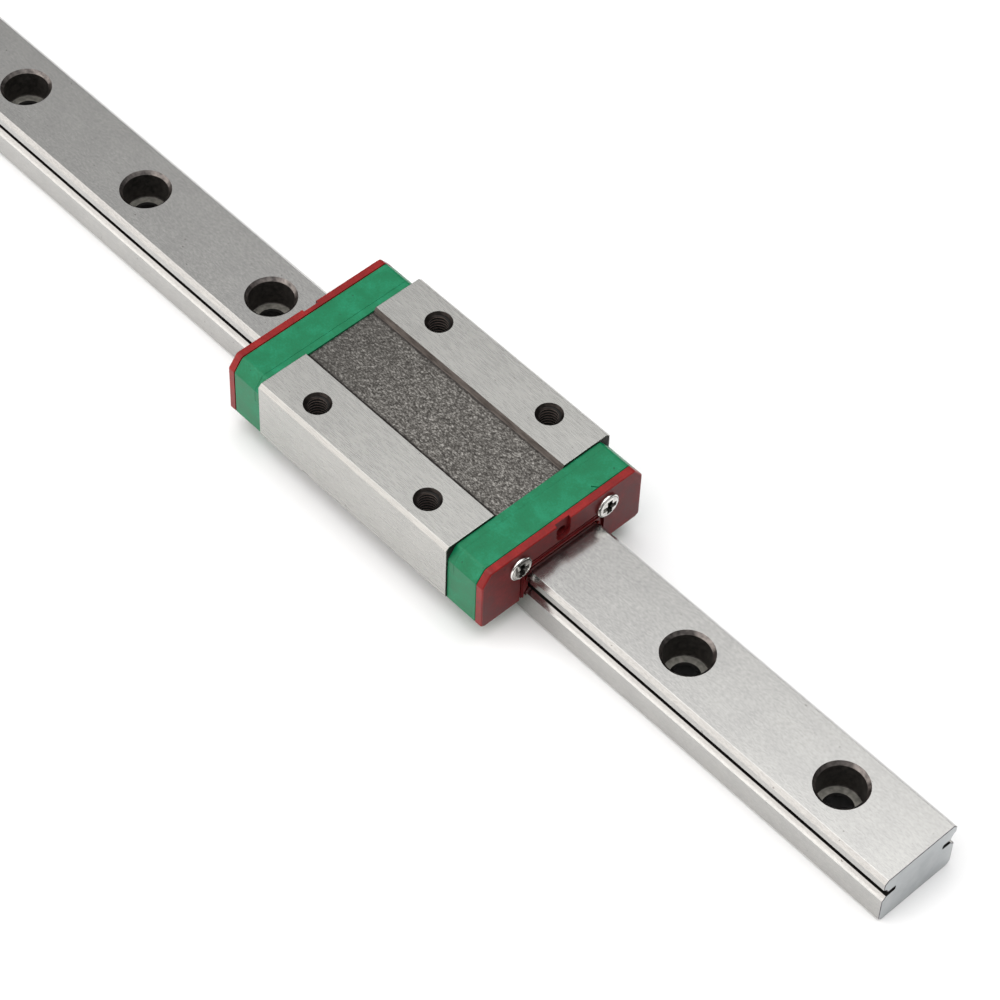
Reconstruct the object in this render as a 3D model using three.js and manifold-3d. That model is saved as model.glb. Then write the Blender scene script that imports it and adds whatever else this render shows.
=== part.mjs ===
// A miniature linear guide of size 12: a long recirculating-ball carriage on its profiled rail.
// Millimetres. +X runs along the rail, +Y across it, +Z is up. The origin is on the rail's underside,
// at the middle of its length. Front is the +X end of the carriage, left is its +Y side.
import * as THREE from "three";
import { mergeVertices } from "three/addons/utils/BufferGeometryUtils.js";
import Module from "manifold-3d";

const wasm = await Module();
wasm.setup();

// Rail
const RAIL_LENGTH = 200;
const RAIL_WIDTH = 12;
const RAIL_HEIGHT = 8;
const RAIL_TOP_CHAMFER = 0.55;
const RAIL_FOOT_CHAMFER = 0.5;
const HOLE_PITCH = 25;
const HOLE_COUNT = 8;
const COUNTERBORE_RADIUS = 3;
const COUNTERBORE_DEPTH = 4.5;
const COUNTERBORE_CHAMFER = 0.38;
const BOLT_HOLE_RADIUS = 1.75;

// Ball track, the same section in the rail and in the carriage
const BALL_RADIUS = 2.381 / 2;
const TRACK_RADIUS = 1.3;
const LOAD_Y = 6.55;
const RETURN_Y = 10.5;
const TRACK_Z = 5.3;
const SLOT_DEPTH_Y = 3.9;
const SLOT_LOW_Z = 4.65;
const SLOT_HIGH_Z = 5.58;
const LOAD_BALLS = 14;
const LOAD_BALL_PITCH = 2.42;
const BEND_BALL_ANGLE = THREE.MathUtils.degToRad(52);

// Carriage
const CARRIAGE_X = 18;
const BLOCK_LENGTH = 34.1;
const BLOCK_WIDTH = 27;
const TOP_Z = 13;
const BLOCK_BOTTOM_Z = 3.4;
const BLOCK_TOP_CHAMFER = 0.5;
const BLOCK_FOOT_CHAMFER = 0.4;
const RECESS_HALF_WIDTH = 5.8;
const RECESS_WALL_RUN = 0.45;
const RECESS_Z = 12.3;
const CHANNEL_HALF_WIDTH = 6.45;
const CHANNEL_TOP_Z = 8.5;
const MOUNT_HOLE_SPACING = 20;
const MOUNT_HOLE_RADIUS = 1.5;
const MOUNT_HOLE_DEPTH = 3.8;
const MOUNT_HOLE_CHAMFER = 0.26;

// End caps and end seals
const CAP_THICKNESS = 4.95;
const SEAL_THICKNESS = 1.15;
const END_HALF_WIDTH = 13.2;
const END_TOP_Z = 12.6;
const END_SHOULDER_Y = 1.35;
const END_SHOULDER_Z = 1.8;
const CAP_BOTTOM_Z = 3.4;
const SEAL_BOTTOM_Z = 3.1;
const SEAL_FOOT_Y = 0.6;
const SEAL_FOOT_Z = 0.35;
const LIP_THICKNESS = 0.75;
const LIP_WINDOW_HALF_WIDTH = 6.95;
const LIP_WINDOW_TOP_Z = 9.4;
const LIP_GAP = 0.12;
const GREASE_HOLE_RADIUS = 0.75;
const GREASE_HOLE_Z = 10.6;
const GREASE_HOLE_DEPTH = 3;
const NOTCH_RADIUS = 1.15;
const NOTCH_DEPTH = 0.45;

// End screws
const SCREW_Y = 7.2;
const SCREW_Z = 10;
const SCREW_RADIUS = 0.95;
const SCREW_HOLE_RADIUS = 1.15;
const SCREW_LENGTH = 9.5;
const SCREW_HOLE_IN_BLOCK = 4.2;
const HEAD_RADIUS = 1.72;
const HEAD_HEIGHT = 0.62;
const HEAD_RIM = 0.28;
const CROSS_WIDTH = 0.42;
const CROSS_LENGTH = 1.9;
const CROSS_DEPTH = 0.34;

// Ball retaining wires
const WIRE_RADIUS = 0.2;
const WIRE_Y = 5.05;
const WIRE_HOOK_Y = 7.3;
const WIRE_END_FROM_BLOCK = 3.85;
const WIRE_POCKET_GAP = 0.1;

// Inner guides of the ball bends
const GUIDE_HALF_HEIGHT = 1.05;
const BEND_POCKET_GAP = 0.05;

const HALF_BLOCK = BLOCK_LENGTH / 2;
const HALF_BODY = HALF_BLOCK + CAP_THICKNESS;
const BEND_RADIUS = (RETURN_Y - LOAD_Y) / 2;
const BEND_Y = (RETURN_Y + LOAD_Y) / 2;
const OVERCUT = 1;

const ENDS = [
  ["front", 1],
  ["rear", -1],
];
const SIDES = [
  ["left", 1],
  ["right", -1],
];

const finish = (color, roughness, metalness) =>
  new THREE.MeshStandardMaterial({ color, roughness, metalness });
const GROUND_STEEL = finish(0xb9b7b4, 0.34, 0.9);
const BLOCK_STEEL = finish(0xbdbab7, 0.42, 0.85);
const GREEN_PLASTIC = finish(0x2b9462, 0.5, 0);
const RED_PLASTIC = finish(0xab2f2f, 0.45, 0);
const CHROME = finish(0xe2e0db, 0.12, 1);
const BALL_STEEL = finish(0xd9dadc, 0.08, 1);
const WIRE_STEEL = finish(0x9c9ea1, 0.25, 1);
const NATURAL_PLASTIC = finish(0xe8e3d4, 0.55, 0);

// A closed three.js geometry as a solid that can be joined and cut.
function solid(geometry) {
  const bare = geometry.clone();
  bare.deleteAttribute("normal");
  bare.deleteAttribute("uv");
  const merged = mergeVertices(bare, 1e-4);
  return new wasm.Manifold(
    new wasm.Mesh({
      numProp: 3,
      vertProperties: new Float32Array(merged.attributes.position.array),
      triVerts: new Uint32Array(merged.index.array),
    }),
  );
}

function mesh(name, shape, material) {
  const { vertProperties, triVerts } = shape.getMesh();
  const geometry = new THREE.BufferGeometry();
  geometry.setAttribute("position", new THREE.BufferAttribute(vertProperties, 3));
  geometry.setIndex(new THREE.BufferAttribute(triVerts, 1));
  geometry.computeVertexNormals();
  const made = new THREE.Mesh(geometry, material);
  made.name = name;
  return made;
}

// A box between two corners, in any order of the two.
function box(a, b) {
  const low = new THREE.Vector3(...a).min(new THREE.Vector3(...b));
  const high = new THREE.Vector3(...a).max(new THREE.Vector3(...b));
  const size = high.clone().sub(low);
  const middle = low.add(high).multiplyScalar(0.5);
  return solid(new THREE.BoxGeometry(...size).translate(...middle));
}

// A cylinder along X from x0 to x1.
function barX(radius, x0, x1, y, z, segments = 24) {
  const bar = new THREE.CylinderGeometry(radius, radius, Math.abs(x1 - x0), segments);
  return solid(bar.rotateZ(Math.PI / 2).translate((x0 + x1) / 2, y, z));
}

// A round bar between any two points.
function rod(radius, from, to, segments = 8) {
  const start = new THREE.Vector3(...from);
  const along = new THREE.Vector3(...to).sub(start);
  const up = new THREE.Vector3(0, 1, 0);
  const bar = new THREE.CylinderGeometry(radius, radius, along.length(), segments);
  bar.applyQuaternion(new THREE.Quaternion().setFromUnitVectors(up, along.clone().normalize()));
  return solid(bar.translate(...start.addScaledVector(along, 0.5)));
}

// An outline of [y, z] points, extruded from x0 to x1.
function extrudeX(outline, x0, x1) {
  const shape = new THREE.Shape(outline.map(([y, z]) => new THREE.Vector2(y, z)));
  const depth = Math.abs(x1 - x0);
  const geometry = new THREE.ExtrudeGeometry(shape, { depth, bevelEnabled: false });
  const toX = new THREE.Matrix4().makeBasis(
    new THREE.Vector3(0, 1, 0),
    new THREE.Vector3(0, 0, 1),
    new THREE.Vector3(1, 0, 0),
  );
  return solid(geometry.applyMatrix4(toX).translate(Math.min(x0, x1), 0, 0));
}

// Completes a right-hand half outline with its mirror image across y = 0.
const mirrored = (half) => [...half, ...half.map(([y, z]) => [-y, z]).reverse()];

// A turned solid about a vertical axis, from [radius, height] points that start and end on the axis.
function turnedZ(profile, x, y, segments = 24) {
  const points = profile.map(([r, h]) => new THREE.Vector2(r, h));
  return solid(new THREE.LatheGeometry(points, segments).rotateX(Math.PI / 2).translate(x, y, 0));
}

const subtractAll = (shape, cuts) => cuts.reduce((left, cut) => left.subtract(cut), shape);
const addAll = (shapes) => shapes.reduce((sum, shape) => sum.add(shape));

// The cutter for one rail hole: through hole, counterbore and the chamfer at its rim.
function counterboredHole(x) {
  const rim = COUNTERBORE_RADIUS + COUNTERBORE_CHAMFER;
  const floor = RAIL_HEIGHT - COUNTERBORE_DEPTH;
  return turnedZ(
    [
      [0, -OVERCUT],
      [BOLT_HOLE_RADIUS, -OVERCUT],
      [BOLT_HOLE_RADIUS, floor],
      [COUNTERBORE_RADIUS, floor],
      [COUNTERBORE_RADIUS, RAIL_HEIGHT - COUNTERBORE_CHAMFER],
      [rim + OVERCUT, RAIL_HEIGHT + OVERCUT],
      [0, RAIL_HEIGHT + OVERCUT],
    ],
    x,
    0,
  );
}

function rail() {
  const half = RAIL_WIDTH / 2;
  const body = extrudeX(
    mirrored([
      [half - RAIL_FOOT_CHAMFER, 0],
      [half, RAIL_FOOT_CHAMFER],
      [half, RAIL_HEIGHT - RAIL_TOP_CHAMFER],
      [half - RAIL_TOP_CHAMFER, RAIL_HEIGHT],
    ]),
    -RAIL_LENGTH / 2,
    RAIL_LENGTH / 2,
  );
  const reach = RAIL_LENGTH / 2 + OVERCUT;
  const tracks = SIDES.flatMap(([, side]) => [
    barX(TRACK_RADIUS, -reach, reach, side * LOAD_Y, TRACK_Z),
    box(
      [-reach, side * SLOT_DEPTH_Y, SLOT_LOW_Z],
      [reach, side * LOAD_Y, SLOT_HIGH_Z],
    ),
  ]);
  const holes = Array.from({ length: HOLE_COUNT }, (_, i) =>
    counterboredHole((i - (HOLE_COUNT - 1) / 2) * HOLE_PITCH),
  );
  return mesh("rail", subtractAll(body, [...tracks, ...holes]), GROUND_STEEL);
}

function mountHole(x, y) {
  const rim = MOUNT_HOLE_RADIUS + MOUNT_HOLE_CHAMFER;
  return turnedZ(
    [
      [0, TOP_Z - MOUNT_HOLE_DEPTH],
      [MOUNT_HOLE_RADIUS, TOP_Z - MOUNT_HOLE_DEPTH],
      [MOUNT_HOLE_RADIUS, TOP_Z - MOUNT_HOLE_CHAMFER],
      [rim + OVERCUT, TOP_Z + OVERCUT],
      [0, TOP_Z + OVERCUT],
    ],
    x,
    y,
  );
}

function carriageBlock() {
  const half = BLOCK_WIDTH / 2;
  const body = extrudeX(
    mirrored([
      [CHANNEL_HALF_WIDTH, CHANNEL_TOP_Z],
      [CHANNEL_HALF_WIDTH, BLOCK_BOTTOM_Z],
      [half - BLOCK_FOOT_CHAMFER, BLOCK_BOTTOM_Z],
      [half, BLOCK_BOTTOM_Z + BLOCK_FOOT_CHAMFER],
      [half, TOP_Z - BLOCK_TOP_CHAMFER],
      [half - BLOCK_TOP_CHAMFER, TOP_Z],
      [RECESS_HALF_WIDTH, TOP_Z],
      [RECESS_HALF_WIDTH - RECESS_WALL_RUN, RECESS_Z],
    ]),
    -HALF_BLOCK,
    HALF_BLOCK,
  );
  const reach = HALF_BLOCK + OVERCUT;
  const spacing = MOUNT_HOLE_SPACING / 2;
  const cuts = SIDES.flatMap(([, side]) => [
    barX(TRACK_RADIUS, -reach, reach, side * LOAD_Y, TRACK_Z),
    barX(TRACK_RADIUS, -reach, reach, side * RETURN_Y, TRACK_Z, 16),
    mountHole(spacing, side * spacing),
    mountHole(-spacing, side * spacing),
    ...ENDS.map(([, end]) => {
      const bottom = end * (HALF_BLOCK - SCREW_HOLE_IN_BLOCK);
      return barX(SCREW_HOLE_RADIUS, end * reach, bottom, side * SCREW_Y, SCREW_Z, 12);
    }),
  ]);
  return mesh("carriage_block", subtractAll(body, cuts), BLOCK_STEEL);
}

// The outline that an end cap and an end seal share, above the points of its lower part.
function endOutline(lower) {
  return mirrored([
    ...lower,
    [END_HALF_WIDTH, END_TOP_Z - END_SHOULDER_Z],
    [END_HALF_WIDTH - END_SHOULDER_Y, END_TOP_Z],
  ]);
}

// Points of a round track's section in a ball bend, as [distance from the bend's axis, height]:
// from -reach to +reach about the direction away from the axis (way 1) or towards it (way -1).
function bendArc(radius, reach, way, steps) {
  return Array.from({ length: steps + 1 }, (_, i) => {
    const angle = reach * ((2 * i) / steps - 1);
    return [BEND_RADIUS + way * radius * Math.cos(angle), TRACK_Z + radius * Math.sin(angle)];
  });
}

// The hollow of one ball bend: the round track outside, and room for the guide inside.
function bendPocket(end, side) {
  const height = GUIDE_HALF_HEIGHT + BEND_POCKET_GAP;
  const radius = TRACK_RADIUS + BEND_POCKET_GAP;
  const inner = BEND_RADIUS - Math.sqrt(radius ** 2 - height ** 2);
  const profile = [
    [0, TRACK_Z - height],
    [inner, TRACK_Z - height],
    ...bendArc(radius, Math.PI / 2, 1, 8),
    [inner, TRACK_Z + height],
    [0, TRACK_Z + height],
  ];
  return turnedZ(profile, end * HALF_BLOCK, side * BEND_Y);
}

function wirePocket(end, side) {
  const middle = HALF_BLOCK + WIRE_END_FROM_BLOCK;
  const room = WIRE_RADIUS + WIRE_POCKET_GAP;
  return box(
    [end * (middle - room), side * (CHANNEL_HALF_WIDTH - OVERCUT), TRACK_Z - room],
    [end * (middle + room), side * (WIRE_HOOK_Y + room), TRACK_Z + room],
  );
}

function endCap([endName, end]) {
  const body = extrudeX(
    endOutline([
      [CHANNEL_HALF_WIDTH, CHANNEL_TOP_Z],
      [CHANNEL_HALF_WIDTH, CAP_BOTTOM_Z],
      [END_HALF_WIDTH, CAP_BOTTOM_Z],
    ]),
    end * HALF_BLOCK,
    end * HALF_BODY,
  );
  const from = end * (HALF_BLOCK - OVERCUT);
  const to = end * (HALF_BODY + OVERCUT);
  const greaseFrom = end * (HALF_BODY - GREASE_HOLE_DEPTH);
  const greaseHole = barX(GREASE_HOLE_RADIUS, greaseFrom, to, 0, GREASE_HOLE_Z, 12);
  const cuts = SIDES.flatMap(([, side]) => [
    bendPocket(end, side),
    wirePocket(end, side),
    barX(SCREW_HOLE_RADIUS, from, to, side * SCREW_Y, SCREW_Z, 12),
  ]);
  return mesh(`end_cap_${endName}`, subtractAll(body, [greaseHole, ...cuts]), GREEN_PLASTIC);
}

// The lip's opening follows the rail's section, with a nose that reaches into each track.
function lipOpening() {
  const side = RAIL_WIDTH / 2 + LIP_GAP;
  const nose = LOAD_Y - TRACK_RADIUS + 2 * LIP_GAP;
  const noseHalf = TRACK_RADIUS / 3;
  const top = RAIL_HEIGHT + LIP_GAP;
  return [
    [side - RAIL_TOP_CHAMFER, top],
    [side, top - RAIL_TOP_CHAMFER],
    [side, TRACK_Z + TRACK_RADIUS],
    [nose, TRACK_Z + noseHalf],
    [nose, TRACK_Z - noseHalf],
    [side, TRACK_Z - TRACK_RADIUS],
    [side, SEAL_BOTTOM_Z],
  ];
}

function endSeal([endName, end]) {
  const outside = HALF_BODY + SEAL_THICKNESS;
  const outline = endOutline([
    ...lipOpening(),
    [END_HALF_WIDTH - SEAL_FOOT_Y, SEAL_BOTTOM_Z],
    [END_HALF_WIDTH, SEAL_BOTTOM_Z + SEAL_FOOT_Z],
  ]);
  const plate = extrudeX(outline, end * HALF_BODY, end * outside);
  const over = end * (outside + OVERCUT);
  const window = box(
    [end * (HALF_BODY + LIP_THICKNESS), -LIP_WINDOW_HALF_WIDTH, SEAL_BOTTOM_Z - OVERCUT],
    [over, LIP_WINDOW_HALF_WIDTH, LIP_WINDOW_TOP_Z],
  );
  const notchFrom = end * (outside - NOTCH_DEPTH);
  const notch = barX(NOTCH_RADIUS, notchFrom, over, 0, GREASE_HOLE_Z, 16).add(
    box([notchFrom, -NOTCH_RADIUS, GREASE_HOLE_Z], [over, NOTCH_RADIUS, END_TOP_Z + OVERCUT]),
  );
  const inside = end * (HALF_BODY - OVERCUT);
  const greaseHole = barX(GREASE_HOLE_RADIUS, inside, over, 0, GREASE_HOLE_Z, 12);
  const screwHoles = SIDES.map(([, side]) =>
    barX(SCREW_HOLE_RADIUS, inside, over, side * SCREW_Y, SCREW_Z, 12),
  );
  const seal = subtractAll(plate, [window, notch, greaseHole, ...screwHoles]);
  return mesh(`end_seal_${endName}`, seal, RED_PLASTIC);
}

// A pan-head screw, turned about Z with its head up, then laid along X.
function endScrew([endName, end], [sideName, side]) {
  const profile = [
    [0, -SCREW_LENGTH],
    [SCREW_RADIUS, -SCREW_LENGTH],
    [SCREW_RADIUS, 0],
    [HEAD_RADIUS, 0],
    [HEAD_RADIUS, HEAD_RIM],
    [HEAD_RADIUS * 0.8, HEAD_HEIGHT * 0.85],
    [HEAD_RADIUS * 0.45, HEAD_HEIGHT],
    [0, HEAD_HEIGHT],
  ];
  const arm = CROSS_LENGTH / 2;
  const slim = CROSS_WIDTH / 2;
  const floor = HEAD_HEIGHT - CROSS_DEPTH;
  const top = HEAD_HEIGHT + OVERCUT;
  const screw = subtractAll(turnedZ(profile, 0, 0, 16), [
    box([-arm, -slim, floor], [arm, slim, top]),
    box([-slim, -arm, floor], [slim, arm, top]),
  ]);
  const made = mesh(`end_screw_${endName}_${sideName}`, screw, CHROME);
  made.rotation.y = (end * Math.PI) / 2;
  made.position.set(end * (HALF_BODY + SEAL_THICKNESS), side * SCREW_Y, SCREW_Z);
  return made;
}

function retainingWire([sideName, side]) {
  const reach = HALF_BLOCK + WIRE_END_FROM_BLOCK;
  const corner = (end) => [end * reach, side * WIRE_Y, TRACK_Z];
  const hook = (end) => [end * reach, side * WIRE_HOOK_Y, TRACK_Z];
  const parts = [rod(WIRE_RADIUS, corner(-1), corner(1))];
  for (const [, end] of ENDS) {
    parts.push(rod(WIRE_RADIUS, corner(end), hook(end)));
    parts.push(solid(new THREE.IcosahedronGeometry(WIRE_RADIUS, 1).translate(...corner(end))));
  }
  return mesh(`retaining_wire_${sideName}`, addAll(parts), WIRE_STEEL);
}

// Half a spool: its flat face stands on the block, and the balls run round its groove.
function returnGuide([endName, end], [sideName, side]) {
  const profile = [
    [0, TRACK_Z - GUIDE_HALF_HEIGHT],
    ...bendArc(TRACK_RADIUS, Math.asin(GUIDE_HALF_HEIGHT / TRACK_RADIUS), -1, 6),
    [0, TRACK_Z + GUIDE_HALF_HEIGHT],
  ];
  const spool = turnedZ(profile, end * HALF_BLOCK, side * BEND_Y);
  const blockSide = box(
    [end * HALF_BLOCK, side * (BEND_Y - BEND_RADIUS), 0],
    [end * (HALF_BLOCK - 2 * BEND_RADIUS), side * (BEND_Y + BEND_RADIUS), TOP_Z],
  );
  return mesh(`return_guide_${endName}_${sideName}`, spool.subtract(blockSide), NATURAL_PLASTIC);
}

const ball = () => new THREE.IcosahedronGeometry(BALL_RADIUS, 1);
const loadBallX = (i) => (i - (LOAD_BALLS - 1) / 2) * LOAD_BALL_PITCH;

function loadBalls([sideName, side]) {
  return Array.from({ length: LOAD_BALLS }, (_, i) => {
    const number = String(i + 1).padStart(2, "0");
    const made = mesh(`load_ball_${sideName}_${number}`, solid(ball()), BALL_STEEL);
    made.position.set(loadBallX(i), side * LOAD_Y, TRACK_Z);
    return made;
  });
}

// Where a ball stands in a bend, at an angle from the loaded row.
function bendPoint(end, side, angle) {
  const x = end * (HALF_BLOCK + BEND_RADIUS * Math.sin(angle));
  return [x, side * (BEND_Y - BEND_RADIUS * Math.cos(angle)), TRACK_Z];
}

// The balls on their way back: two in each bend and a full row in the return bore, joined as one string.
function returnBalls([sideName, side]) {
  const angles = [BEND_BALL_ANGLE, Math.PI - BEND_BALL_ANGLE];
  const bend = (end) => angles.map((angle) => bendPoint(end, side, angle));
  const row = Array.from({ length: LOAD_BALLS }, (_, i) => [loadBallX(i), side * RETURN_Y, TRACK_Z]);
  const places = [...bend(-1), ...row, ...bend(1).reverse()];
  const balls = places.map((place) => solid(ball().translate(...place)));
  const links = places.slice(1).map((place, i) => rod(WIRE_RADIUS, places[i], place, 4));
  return mesh(`return_balls_${sideName}`, addAll([...balls, ...links]), BALL_STEEL);
}

const carriage = new THREE.Group();
carriage.position.x = CARRIAGE_X;
carriage.add(carriageBlock());
for (const end of ENDS) {
  carriage.add(endCap(end), endSeal(end));
  for (const side of SIDES) carriage.add(endScrew(end, side), returnGuide(end, side));
}
for (const side of SIDES) {
  carriage.add(retainingWire(side), returnBalls(side), ...loadBalls(side));
}

const guide = new THREE.Group();
guide.add(rail(), carriage);

export default guide;
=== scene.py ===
"""A size 12 miniature linear guide: a carriage with green end caps and red seals on its steel rail."""

import math

import bmesh
import bpy
from mathutils import Matrix, Vector, noise


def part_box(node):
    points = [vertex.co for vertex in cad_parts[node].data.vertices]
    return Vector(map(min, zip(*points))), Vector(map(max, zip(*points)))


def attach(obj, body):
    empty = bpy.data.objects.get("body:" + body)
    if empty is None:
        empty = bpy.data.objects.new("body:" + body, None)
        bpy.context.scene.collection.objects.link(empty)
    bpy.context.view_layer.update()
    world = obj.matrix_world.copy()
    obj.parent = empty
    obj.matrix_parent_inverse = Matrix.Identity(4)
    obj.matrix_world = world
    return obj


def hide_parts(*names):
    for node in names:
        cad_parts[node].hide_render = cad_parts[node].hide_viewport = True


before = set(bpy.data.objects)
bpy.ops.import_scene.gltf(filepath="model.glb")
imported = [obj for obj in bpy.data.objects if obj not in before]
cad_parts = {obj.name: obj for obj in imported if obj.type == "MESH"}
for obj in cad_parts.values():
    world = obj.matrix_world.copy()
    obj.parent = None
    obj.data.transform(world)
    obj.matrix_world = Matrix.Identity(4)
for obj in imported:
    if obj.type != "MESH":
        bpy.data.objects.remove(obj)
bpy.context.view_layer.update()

scene = bpy.context.scene
METRES = 0.001  # shapes are worked out in millimetres and put in the frame in metres

# ---------------------------------------------------------------- camera, floor and light

TARGET = Vector((0.03098, -0.00081, 0.008))
AZIMUTH = math.radians(45.07)
ELEVATION = math.radians(51.35)
ROLL = math.radians(2.54)
DISTANCE = 0.4276
LENS = 126.94
SENSOR = 36
FLOOR_SIZE = 12
FLOOR_GAP = 0.00002  # keeps the floor off the rail's underside
SOFTBOX_PLACE = Vector((-0.52, -0.88, 0.52))
SOFTBOX_SIZE = (1.7, 1.2)
SOFTBOX_ENERGY = 9.8
SKY_STRENGTH = 3.0
SKY = [  # height of the direction, from level to straight up, and brightness
    (0.0, 0.02),
    (0.45, 0.04),
    (0.62, 0.15),
    (0.69, 0.225),
    (0.745, 0.215),
    (0.79, 0.25),
    (0.815, 0.395),
    (0.84, 0.62),
    (0.88, 0.88),
    (1.0, 1.0),
]


def make_camera():
    """The photograph's view: a long lens, a little rolled."""
    back = Vector(
        (
            math.sin(AZIMUTH) * math.cos(ELEVATION),
            -math.cos(AZIMUTH) * math.cos(ELEVATION),
            math.sin(ELEVATION),
        )
    )
    level = Vector((math.cos(AZIMUTH), math.sin(AZIMUTH), 0))
    right = (Matrix.Rotation(ROLL, 3, back) @ level).normalized()
    up = back.cross(right)
    data = bpy.data.cameras.new("camera")
    data.sensor_width = SENSOR
    data.lens = LENS
    data.clip_start = 0.01
    data.clip_end = 20
    camera = bpy.data.objects.new("camera", data)
    turn = Matrix((right, up, back)).transposed().to_4x4()
    camera.matrix_world = Matrix.Translation(TARGET + back * DISTANCE) @ turn
    scene.collection.objects.link(camera)
    scene.camera = camera


def put(tree, socket, value):
    """Links a socket to another one, or sets its value."""
    if isinstance(value, bpy.types.NodeSocket):
        tree.links.new(value, socket)
    elif isinstance(value, (tuple, list)) and len(value) == 3 and socket.type == "RGBA":
        socket.default_value = (*value, 1)
    else:
        socket.default_value = value


def node(tree, kind, inputs=(), **settings):
    """A new node; settings are attributes, inputs are {socket name or number: value or socket}."""
    made = tree.nodes.new(kind)
    for key, value in settings.items():
        setattr(made, key, value)
    for key, value in dict(inputs).items():
        put(tree, made.inputs[key], value)
    return made


def calc(tree, operation, a, b=0.0, c=0.0):
    return node(tree, "ShaderNodeMath", {0: a, 1: b, 2: c}, operation=operation).outputs[0]


def ramp(tree, factor, stops):
    """A colour ramp from (position, colour or grey) stops."""
    made = node(tree, "ShaderNodeValToRGB", {0: factor})
    elements = made.color_ramp.elements
    while len(elements) < len(stops):
        elements.new(0.5)
    for element, (position, value) in zip(elements, stops):
        element.position = position
        element.color = (*value, 1) if isinstance(value, tuple) else (value, value, value, 1)
    return made.outputs[0]


def mix(tree, factor, a, b):
    """Colour a turning into colour b as the factor goes from 0 to 1."""
    inputs = {0: factor, 6: a, 7: b}
    return node(tree, "ShaderNodeMix", inputs, data_type="RGBA", clamp_factor=True).outputs[2]


def make_floor():
    bpy.ops.mesh.primitive_plane_add(size=FLOOR_SIZE, location=(0, 0, -FLOOR_GAP))
    floor = bpy.context.object
    floor.name = "floor"
    made = bpy.data.materials.new("white_paper")
    made.use_nodes = True
    shader = made.node_tree.nodes["Principled BSDF"]
    shader.inputs["Base Color"].default_value = (0.93, 0.93, 0.93, 1)
    shader.inputs["Roughness"].default_value = 0.9
    shader.inputs["Specular IOR Level"].default_value = 0.1
    floor.data.materials.append(made)


def make_light():
    """A bright ceiling that dims towards the walls, and a large soft light on the left."""
    world = bpy.data.worlds.new("studio")
    world.use_nodes = True
    scene.world = world
    tree = world.node_tree
    place = node(tree, "ShaderNodeTexCoord").outputs["Generated"]
    height = node(tree, "ShaderNodeSeparateXYZ", {0: place}).outputs[2]
    background = tree.nodes["Background"]
    put(tree, background.inputs["Color"], ramp(tree, height, SKY))
    background.inputs["Strength"].default_value = SKY_STRENGTH
    lamp = bpy.data.lights.new("left_softbox", "AREA")
    lamp.shape = "RECTANGLE"
    lamp.size, lamp.size_y = SOFTBOX_SIZE
    lamp.energy = SOFTBOX_ENERGY
    lamp.color = (1.0, 0.965, 0.94)
    box = bpy.data.objects.new("left_softbox", lamp)
    box.location = TARGET + SOFTBOX_PLACE
    box.rotation_euler = (TARGET - box.location).to_track_quat("-Z", "Y").to_euler()
    scene.collection.objects.link(box)
    scene.view_settings.view_transform = "Standard"


make_camera()
make_floor()
make_light()

# ---------------------------------------------------------------- materials


def linear(*levels):
    """A colour from 0 to 255 sRGB levels."""
    return tuple(
        (v / 255 / 12.92) if v <= 10 else ((v / 255 + 0.055) / 1.055) ** 2.4 for v in levels
    )


def stretched(tree, x, y, z):
    """The piece's own coordinates, times a scale per axis in cycles per metre."""
    place = node(tree, "ShaderNodeTexCoord").outputs["Object"]
    return node(tree, "ShaderNodeVectorMath", {0: place, 1: (x, y, z)}, operation="MULTIPLY").outputs[0]


def grain(tree, vector, detail, rough):
    inputs = {"Vector": vector, "Scale": 1.0, "Detail": detail, "Roughness": rough}
    return node(tree, "ShaderNodeTexNoise", inputs).outputs[0]


def bumped(tree, height, strength, distance):
    """A normal that follows a relief, its distance in metres."""
    inputs = {"Height": height, "Strength": strength, "Distance": distance}
    return node(tree, "ShaderNodeBump", inputs).outputs[0]


def fresh(name, **fixed):
    """A material, its tree and its shader, with uniform values set on the shader's own sockets."""
    made = bpy.data.materials.new(name)
    made.use_nodes = True
    shader = made.node_tree.nodes["Principled BSDF"]
    for key, value in fixed.items():
        put(made.node_tree, shader.inputs[key.replace("_", " ")], value)
    return made, made.node_tree, shader


def across_lines(tree):
    """The direction across lines that run along X, on a face of any slope."""
    normal = node(tree, "ShaderNodeNewGeometry").outputs["Normal"]
    lines = (1.0, 0.013, 0.021)
    return node(
        tree, "ShaderNodeVectorMath", {0: lines, 1: normal}, operation="CROSS_PRODUCT"
    ).outputs[0]


def ground_steel(name, dark, light, rough, length):
    """Ground steel: fine lines along X, length times longer than wide, faint clouds, dark specks."""
    made, tree, shader = fresh(name, Metallic=1.0, Anisotropic=0.5)
    lines_per_metre = 5600
    across = stretched(tree, lines_per_metre / length, lines_per_metre, lines_per_metre)
    lines = grain(tree, across, 2, 0.5)
    long_lines = grain(tree, stretched(tree, 120, 2600, 2600), 2, 0.5)
    cloud = grain(tree, stretched(tree, 240, 260, 260), 2, 0.5)
    tone = calc(tree, "MULTIPLY_ADD", lines, 0.6, calc(tree, "MULTIPLY", long_lines, 0.14))
    tone = calc(tree, "MULTIPLY_ADD", cloud, 0.26, tone)
    colour = ramp(tree, tone, [(0.36, dark), (0.64, light)])
    speck = grain(tree, stretched(tree, 1500, 1900, 1900), 1, 0.4)
    spots = ramp(tree, speck, [(0.775, 0.0), (0.81, 1.0)])
    spots = calc(tree, "MULTIPLY", spots, 0.5)
    put(tree, shader.inputs["Base Color"], mix(tree, spots, colour, linear(90, 80, 76)))
    put(tree, shader.inputs["Roughness"], calc(tree, "MULTIPLY_ADD", lines, 0.14, rough - 0.07))
    put(tree, shader.inputs["Normal"], bumped(tree, lines, 0.2, 0.000003))
    put(tree, shader.inputs["Tangent"], across_lines(tree))
    return made


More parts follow.
